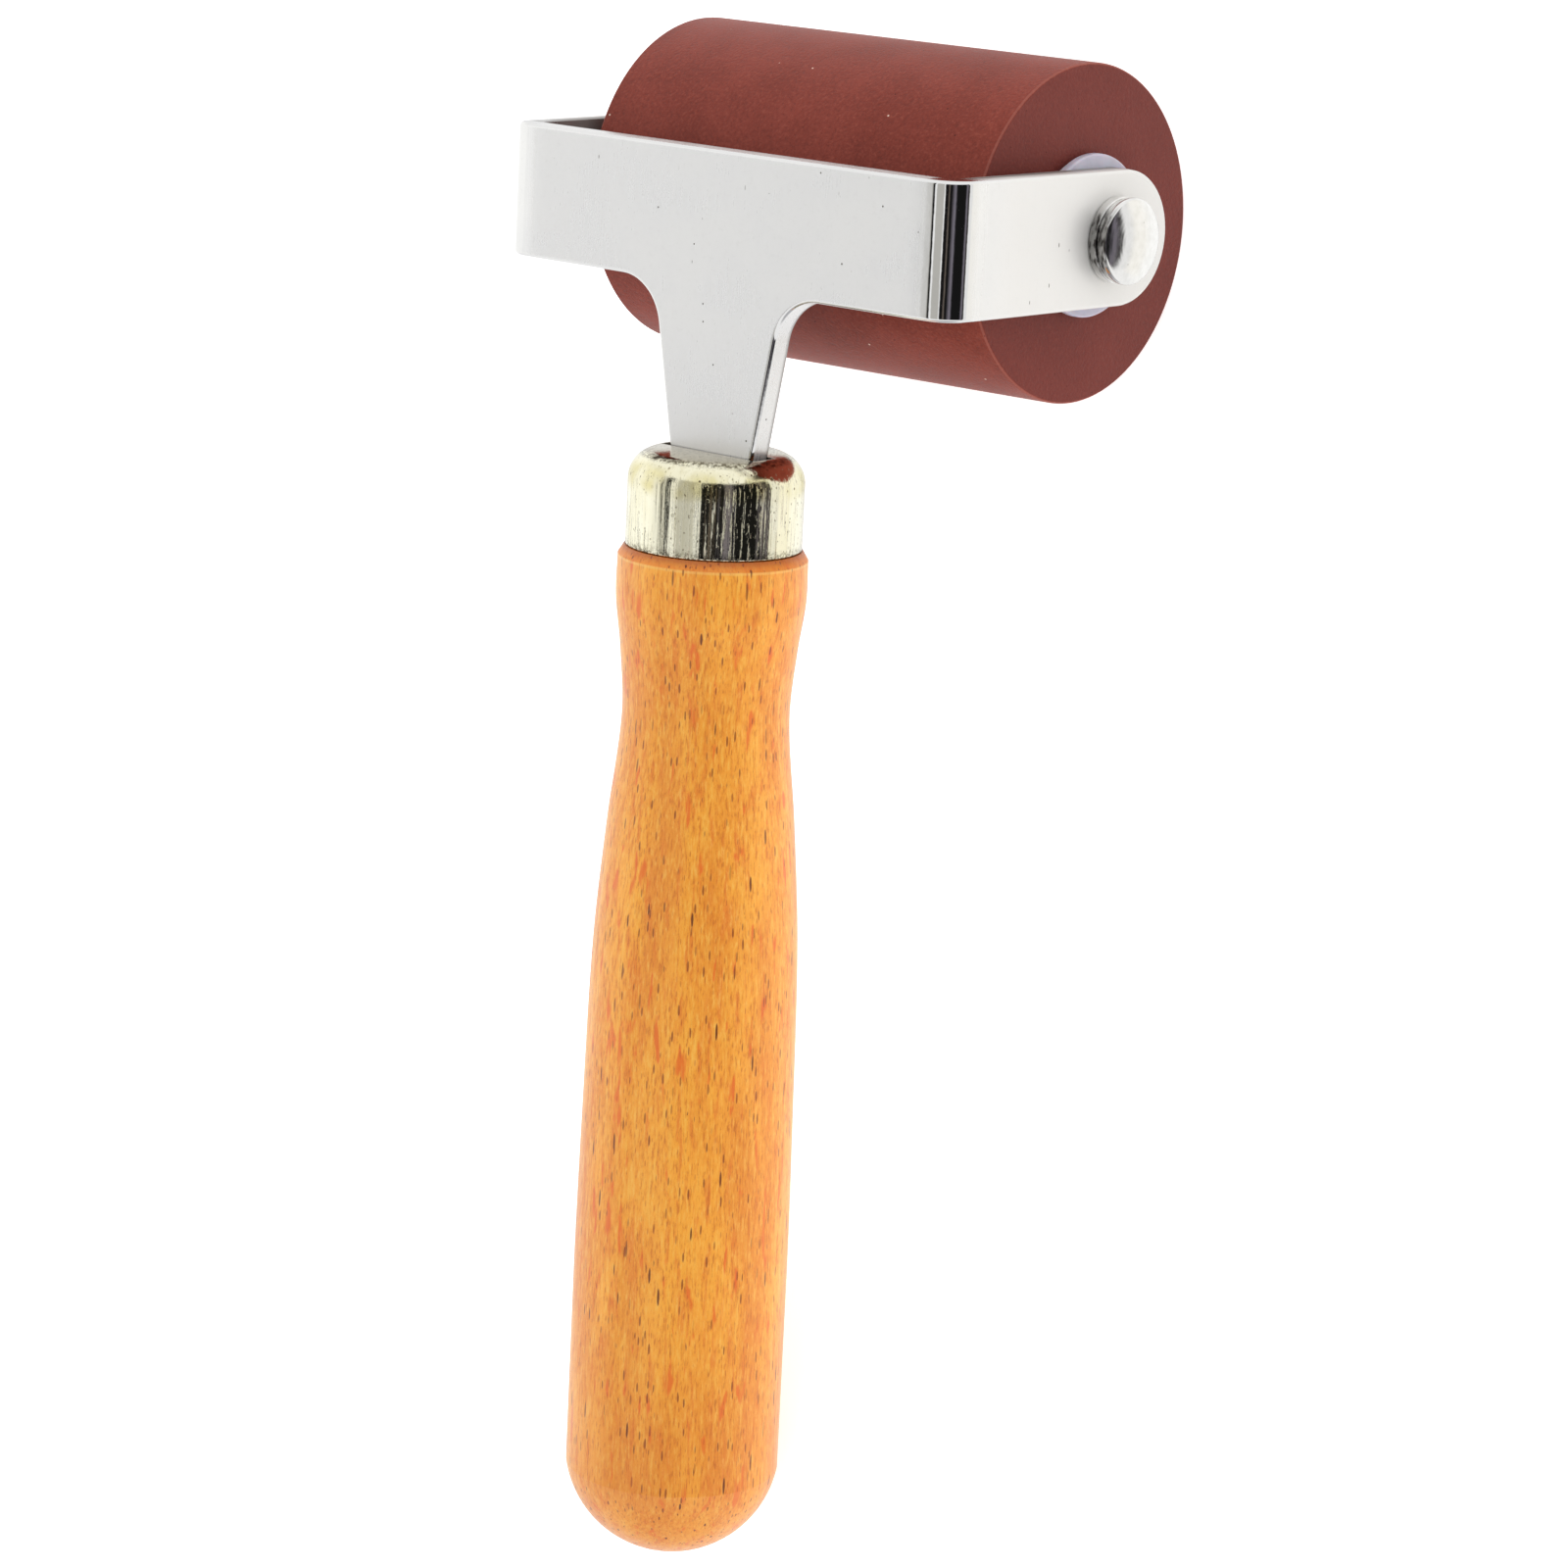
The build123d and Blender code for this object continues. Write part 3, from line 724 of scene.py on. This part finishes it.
def make_cap(side, name, node, material):
    rise = CAP_TOP_X - CAP_FOOT_X - CAP_SIDE_HEIGHT
    crown_radius = (CAP_RADIUS**2 + rise**2) / (2 * rise)
    crown_centre = CAP_TOP_X - crown_radius
    inside = CAP_RADIUS - CAP_GROOVE - CAP_WALL
    side_top = CAP_FOOT_X + CAP_SIDE_HEIGHT
    groove_x = CAP_FOOT_X + CAP_LIP_HEIGHT
    lower = rounded([
        (0, side_top, 0),
        (inside, side_top, 0),
        (inside, CAP_FOOT_X + CAP_MOUTH_LIP, 0),
        (CAP_MOUTH_RADIUS, CAP_FOOT_X + CAP_MOUTH_LIP, 0),
        (CAP_MOUTH_RADIUS, CAP_FOOT_X, CAP_CORNER_RADIUS),
        (CAP_RADIUS, CAP_FOOT_X, CAP_EDGE_RADIUS),
        (CAP_RADIUS, groove_x, CAP_EDGE_RADIUS),
        (CAP_RADIUS - CAP_GROOVE, groove_x, CAP_CORNER_RADIUS),
        (CAP_RADIUS - CAP_GROOVE, groove_x + CAP_GROOVE, CAP_CORNER_RADIUS),
        (CAP_RADIUS, groove_x + CAP_GROOVE, CAP_EDGE_RADIUS),
        (CAP_RADIUS, side_top - CROWN_BEVEL, 0),
    ], step_degrees=15)
    half_angle = math.degrees(math.asin((CAP_RADIUS - CROWN_BEVEL) / crown_radius))
    crown = arc((0, crown_centre), crown_radius, 90 - half_angle, 90, 24)
    piece = to_object(on_axle(lathe(lower + crown, segments=128), side), name)
    finish_piece(piece, "frame", material, [node])


# ---- Yoke ----
def along_bend(distance):
    """Where the strip's outer face is, so far past its flat middle, and which way it heads."""
    x = y = heading = 0.0
    for radius, degrees in BEND_ARCS:
        turn = min(distance / radius, math.radians(degrees))
        x += radius * (math.sin(heading + turn) - math.sin(heading))
        y += radius * (math.cos(heading) - math.cos(heading + turn))
        heading += turn
        distance -= radius * turn
    return x + distance * math.cos(heading), y + distance * math.sin(heading), heading


BEND_LENGTH = sum(radius * math.radians(degrees) for radius, degrees in BEND_ARCS)
BEND_REACH, BEND_DEPTH, _ = along_bend(BEND_LENGTH)
FLAT_HALF = HALF_YOKE - BEND_REACH
# Degrees of bending between one row of vertices and the next.
BEND_STEP = 6


def yoke_outline():
    """The flat blank seen from outside: one strip with a stem and a tang below its middle."""
    arm_length = ARM_END_Y - PLATE_FACE_Y - BEND_DEPTH
    tip = FLAT_HALF + BEND_LENGTH + arm_length
    right = [
        (tip, HALF_STRIP, HALF_STRIP),
        (tip, -HALF_STRIP, HALF_STRIP),
        (HALF_STEM_TOP, -HALF_STRIP, STEM_FILLET),
        (HALF_STEM_FOOT, STEM_FOOT_Z, 0),
        (HALF_TANG, TANG_TOP_Z, 0),
        (HALF_TANG_END, TANG_END_Z, 0),
        (HALF_TANG_END / 2, TANG_TIP_Z, 0),
    ]
    left = [(-x, z, radius) for x, z, radius in reversed(right)]
    return rounded(right + left, step_degrees=6)


def bend_point(point):
    """Where a point of the flat blank goes when the two arms are bent."""
    along, depth, height = point
    if abs(along) <= FLAT_HALF:
        return Vector((along, PLATE_FACE_Y + depth, height))
    x, y, heading = along_bend(abs(along) - FLAT_HALF)
    x += FLAT_HALF - depth * math.sin(heading)
    y += PLATE_FACE_Y + depth * math.cos(heading)
    return Vector((math.copysign(x, along), y, height))


def bend_stations():
    """Distances from the middle at which the flat blank is cut across so that it can bend."""
    station = FLAT_HALF
    stations = [station]
    for radius, degrees in BEND_ARCS:
        steps = max(2, round(degrees / BEND_STEP))
        for _ in range(steps):
            station += radius * math.radians(degrees) / steps
            stations.append(station)
    return stations


def round_rim(shape, depth, radius, segments):
    """Round the edges that run round the blank's face at one depth."""
    rim = [edge for edge in shape.edges if all(abs(vert.co.y - depth) < TOUCH for vert in edge.verts)]
    bmesh.ops.bevel(shape, geom=rim, offset=radius, segments=segments, profile=0.5, affect="EDGES")


def cut_across(shape, station):
    """Cut every face that crosses one distance from the middle, so that it can bend there."""
    for side in (-1, 1):
        geometry = [*shape.verts, *shape.edges, *shape.faces]
        plane = (side * station, 0, 0)
        bmesh.ops.bisect_plane(shape, geom=geometry, plane_co=plane, plane_no=(1, 0, 0))


def axle_hole():
    """A rod through both arms, as wide as the hole in them."""
    bore = ROD_RADIUS + BORE_CLEARANCE
    end = HALF_YOKE + OVERRUN
    outline = rounded([(0, -end, 0), (bore, -end, 0), (bore, end, 0), (0, end, 0)])
    return on_axle(lathe(outline, segments=48))


def make_yoke(material):
    shape = bmesh.new()
    shape.faces.new([shape.verts.new((x, 0, z)) for x, z in yoke_outline()])
    bmesh.ops.remove_doubles(shape, verts=shape.verts, dist=TOUCH)
    thick = bmesh.ops.extrude_face_region(shape, geom=list(shape.faces))
    inner = [part for part in thick["geom"] if isinstance(part, bmesh.types.BMVert)]
    bmesh.ops.translate(shape, verts=inner, vec=(0, PLATE_THICKNESS, 0))
    bmesh.ops.recalc_face_normals(shape, faces=shape.faces)
    round_rim(shape, PLATE_THICKNESS, INNER_RIM_RADIUS, segments=2)
    round_rim(shape, 0, OUTER_RIM_RADIUS, segments=5)
    for station in bend_stations():
        cut_across(shape, station)
    for vert in shape.verts:
        vert.co = bend_point(vert.co)
    bmesh.ops.recalc_face_normals(shape, faces=shape.faces)
    piece = to_object(shape, "yoke_plated")
    cut(piece, axle_hole())
    weighted = piece.modifiers.new("weighted_normals", "WEIGHTED_NORMAL")
    weighted.keep_sharp = True
    weighted.weight = 100
    finish_piece(piece, "frame", material, ["yoke"], sharp_angle=50)


# ---- Ferrule ----
def make_ferrule(material):
    """A drawn cup: a flat top with a crease round it, a round shoulder, and a rolled foot."""
    inner = FERRULE_RADIUS - FERRULE_WALL
    inner_top = FERRULE_TOP_Z - FERRULE_WALL
    crease = math.degrees(math.acos((DISC_RADIUS - FERRULE_RADIUS) / SHOULDER_ARC + 1))
    shoulder_z = FERRULE_TOP_Z - SHOULDER_ARC * math.sin(math.radians(crease))
    lower = rounded([
        (FERRULE_RADIUS, shoulder_z, 0),
        (FERRULE_RADIUS, SHOULDER_Z, FOOT_ROLL_RADIUS),
        (inner, SHOULDER_Z, FOOT_INNER_RADIUS),
        (inner, inner_top, FERRULE_CORNER - FERRULE_WALL),
        (0, inner_top, 0),
        (0, FERRULE_TOP_Z, 0),
    ], step_degrees=6)
    shoulder = arc((FERRULE_RADIUS - SHOULDER_ARC, shoulder_z), SHOULDER_ARC, crease, 0, 16)
    outline = lower[1:] + shoulder
    piece = to_object(lathe(outline, segments=160), "ferrule_brass")
    middle = Vector((0, 0, FERRULE_TOP_Z))
    cut(piece, block(middle - FERRULE_SLOT / 2, middle + FERRULE_SLOT / 2))
    finish_piece(piece, "frame", material, ["ferrule"])


# ---- Handle ----
def handle_outline():
    tenon_radius = FERRULE_RADIUS - FERRULE_WALL - GLUE_GAP
    body_top_z = SHOULDER_Z - SHOULDER_CHAMFER_HEIGHT
    depth = BUTT_EDGE_Z - BUTT_END_Z
    butt_radius = (GRIP_RADIUS**2 + depth**2) / (2 * depth)
    half_angle = math.degrees(math.asin(GRIP_RADIUS / butt_radius))
    swell = [
        Vector((SHOULDER_RADIUS, body_top_z)),
        Vector((SHOULDER_RADIUS, body_top_z - SHOULDER_BAND_HEIGHT)),
        *[Vector((radius, z)) for z, radius in SWELL],
        Vector((GRIP_RADIUS, GRIP_TOP_Z)),
    ]
    return [
        Vector((0, TENON_TOP_Z)),
        Vector((tenon_radius - FERRULE_CORNER, TENON_TOP_Z)),
        Vector((tenon_radius, TENON_TOP_Z - FERRULE_CORNER)),
        Vector((tenon_radius, SHOULDER_Z)),
        Vector((SHOULDER_RADIUS - SHOULDER_CHAMFER, SHOULDER_Z)),
        *smooth_through(swell, 12),
        *arc((0, BUTT_END_Z + butt_radius), butt_radius, half_angle - 90, -90, 24),
    ]


def make_handle(material):
    piece = to_object(lathe(handle_outline(), segments=160), "handle_turned")
    finish_piece(piece, "frame", material, ["handle"], sharp_angle=7)


def paint_node(node, material):
    """Give a CAD node, whose shape stays as it is, its own material."""
    for slot in frame["nodes"][node].material_slots:
        slot.material = material


# ---- Studio ----
CAMERA_AZIMUTH = 40.71
CAMERA_ELEVATION = 12.73
CAMERA_ROLL = 2.83
CAMERA_DISTANCE = 638.1
CAMERA_LENS = 120.47
SENSOR_WIDTH = 36.0
# From the middle of the tool to the point that the camera looks at.
AIM_SHIFT = Vector((0, -8.5, 2.3))


def make_camera():
    """The camera is set in the tool's own axes, because the tool is seen upright."""
    azimuth, elevation = math.radians(CAMERA_AZIMUTH), math.radians(CAMERA_ELEVATION)
    back = Vector((
        math.sin(azimuth) * math.cos(elevation),
        -math.cos(azimuth) * math.cos(elevation),
        math.sin(elevation),
    ))
    level = Vector((math.cos(azimuth), math.sin(azimuth), 0))
    right = Matrix.Rotation(math.radians(CAMERA_ROLL), 3, back) @ level
    middle = Vector((0, (PLATE_FACE_Y + sleeve_high.y) / 2, (ROLLER_RADIUS + BUTT_END_Z) / 2))
    place = Matrix((right, back.cross(right), back)).transposed().to_4x4()
    place.translation = (middle + AIM_SHIFT + back * CAMERA_DISTANCE) * MM
    camera = bpy.data.cameras.new("camera")
    camera.lens = CAMERA_LENS
    camera.sensor_width = SENSOR_WIDTH
    camera.clip_start = 10 * MM
    view = bpy.data.objects.new("camera", camera)
    bpy.context.scene.collection.objects.link(view)
    view.matrix_world = TOOL @ place
    bpy.context.scene.camera = view


WHITE = (1.0, 1.0, 1.0, 1)
WARM_WHITE = (1.06, 1.04, 0.99, 1)
BRIGHT = (1.10, 1.10, 1.09, 1)
DIM_WHITE = (0.86, 0.86, 0.86, 1)
GREY_CARD = (0.53, 0.52, 0.49, 1)
DARK_CARD = (0.035, 0.032, 0.030, 1)
BLACK = (0.010, 0.010, 0.010, 1)
BROWN_STREAK = (0.17, 0.14, 0.12, 1)
PURPLE_STREAK = (0.22, 0.20, 0.24, 1)
# What stands round the tool in the studio, as its gloss shows it: white walls, and dark and grey
# cards. Each row says where a stretch starts, where it ends and its colour, and one stretch
# blends into the next. The directions go round the handle in degrees, with 0 square to the
# yoke's plate and 90 along the axle to the right-hand cap.
SURROUNDINGS = [
    (-180, -180, BRIGHT),
    (-136, -136, DIM_WHITE),
    (-118, -55, BRIGHT),
    (-46, -46, WHITE),
    (-38, -38, DIM_WHITE),
    (-31, -31, GREY_CARD),
    (-26, -21, BLACK),
    (-18, -14, WHITE),
    (-11, 16, GREY_CARD),
    (18, 20, WHITE),
    (22, 32, BLACK),
    (36, 36, BROWN_STREAK),
    (40, 47, BLACK),
    (59, 59, PURPLE_STREAK),
    (66, 100, BLACK),
    (106, 106, PURPLE_STREAK),
    (112, 116, DARK_CARD),
    (119, 119, WHITE),
    (128, 128, DIM_WHITE),
    (136, 150, WARM_WHITE),
    (165, 180, BRIGHT),
]
# The cards fade out between these heights above and below, as sines of the angle.
CARDS_TOP = (0.50, 0.60)
CARDS_FOOT = (-0.50, -0.43)
# The ground close below, seen only in edges that face down.
GROUND = (0.50, 0.50, 0.52, 1)
GROUND_TOP = (-0.93, -0.80)
# The even light that matt surfaces get, and how much of what the gloss shows is mixed into it.
ROOM_LIGHT = (1.30, 1.30, 1.31, 1)
CARD_SHADE = 0.55
FLOOR_SIZE = 4000
FLOOR_GLOW = 0.7


def make_floor():
    """A pale floor that glows a little, and that the tool's gloss doesn't show."""
    shape = bmesh.new()
    bmesh.ops.create_grid(shape, x_segments=1, y_segments=1, size=FLOOR_SIZE)
    floor = to_object(shape, "floor")
    paint = Paint("pale_floor", {"Specular IOR Level": 0.0, "Emission Strength": FLOOR_GLOW})
    paint.surface.inputs["Emission Color"].default_value = WHITE
    paint.set("Base Color", paint.mix(paint.noise(300), (0.90, 0.90, 0.90, 1), (0.92, 0.92, 0.92, 1)))
    floor.data.materials.append(paint.material)
    floor.visible_glossy = False


def colour_round(nodes, turn):
    """The colour that stands in each direction round the handle."""
    edges = []
    for start, end, colour in SURROUNDINGS:
        edges += [(degrees, colour) for degrees in sorted({start, end})]
    ramp = nodes.tree.nodes.new("ShaderNodeValToRGB")
    nodes.link(nodes.math("MULTIPLY_ADD", turn, 1 / math.tau, 0.5), ramp.inputs["Fac"])
    stops = ramp.color_ramp.elements
    for degrees, colour in edges[1:-1]:
        stops.new(degrees / 360 + 0.5).color = colour
    stops[0].color = edges[0][1]
    stops[len(stops) - 1].color = edges[-1][1]
    return ramp.outputs["Color"]


def make_surroundings():
    """The gloss sees the cards, matt surfaces get a softer light, and the camera sees white."""
    world = bpy.data.worlds.new("studio")
    world.use_nodes = True
    world.cycles.sampling_method = "NONE"
    nodes = Nodes(world.node_tree)
    background = nodes.tree.nodes["Background"]
    direction = nodes.turned(nodes.tree.nodes.new("ShaderNodeTexCoord").outputs["Generated"])
    x, y, z = nodes.parts(direction)
    turn = nodes.math("ARCTAN2", x, nodes.times(y, -1.0))
    cards = nodes.times(nodes.remap(z, *CARDS_TOP, 1.0, 0.0), nodes.remap(z, *CARDS_FOOT))
    walls = nodes.mix(cards, WHITE, colour_round(nodes, turn))
    gloss = nodes.mix(nodes.remap(z, *GROUND_TOP), GROUND, walls)
    soft = nodes.mix(CARD_SHADE, ROOM_LIGHT, gloss)
    ray = nodes.tree.nodes.new("ShaderNodeLightPath")
    seen = nodes.mix(ray.outputs["Is Diffuse Ray"], gloss, soft)
    nodes.link(nodes.mix(ray.outputs["Is Camera Ray"], seen, WHITE), background.inputs["Color"])
    bpy.context.scene.world = world
    bpy.context.scene.view_settings.view_transform = "Standard"


def make_brayer():
    rubber = rubber_paint()
    nylon = nylon_paint()
    cap_metal = cap_paint()
    make_sleeve(rubber)
    make_bush(1, "bush_right", "right_bush", nylon)
    make_bush(-1, "bush_left", "left_bush", nylon)
    make_cap(1, "cap_right", "right_cap", cap_metal)
    make_cap(-1, "cap_left", "left_cap", cap_metal)
    make_yoke(nickel_paint())
    make_ferrule(brass_paint())
    make_handle(wood_paint())
    paint_node("core_tube", core_paint())
    paint_node("axle_rod", rod_paint())
    spring_steel = spring_steel_paint()
    for side in ("left", "right"):
        paint_node(side + "_lock_washer", spring_steel)


make_brayer()
make_camera()
make_floor()
make_surroundings()
